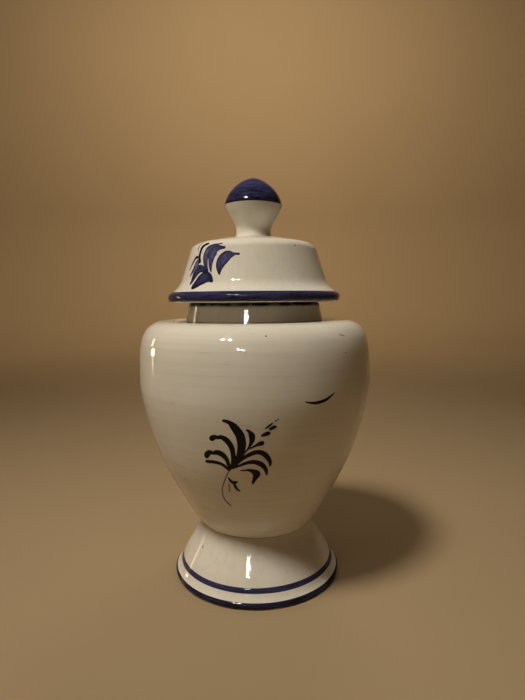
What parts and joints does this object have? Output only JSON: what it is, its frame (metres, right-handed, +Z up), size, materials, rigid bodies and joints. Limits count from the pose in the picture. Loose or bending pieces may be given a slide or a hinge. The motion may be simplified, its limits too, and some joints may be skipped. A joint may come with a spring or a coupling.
{
  "type": "apothecary jar",
  "caption": "Lidded urn-shaped pharmacy jar of glazed earthenware on a flared pedestal foot, with a knobbed lid that lifts off a short collar.",
  "frame": {"origin": "centre of the foot ring, on the surface that the jar stands on", "axes": "+Z up along the jar's axis of revolution, and the painted sprays face -Y"},
  "size_m": [0.1154, 0.1154, 0.2],
  "materials": {
    "white_glaze": "glossy warm white tin glaze with fine crazing",
    "cobalt_paint": "brushed cobalt blue under the gloss of the glaze",
    "biscuit": "bare fired clay, matt"
  },
  "bodies": {
    "jar": {"pedestal_foot": "white_glaze", "jar_body": "white_glaze", "neck_collar": "white_glaze"},
    "lid": {"lid_dome": "white_glaze", "lid_locating_flange": "biscuit", "lid_knob": "white_glaze"}
  },
  "joints": [
    {"name": "lid_lift", "type": "slide", "parent": "jar", "child": "lid", "axis": [0, 0, 1], "range_m": [0, 0.08]}
  ]
}
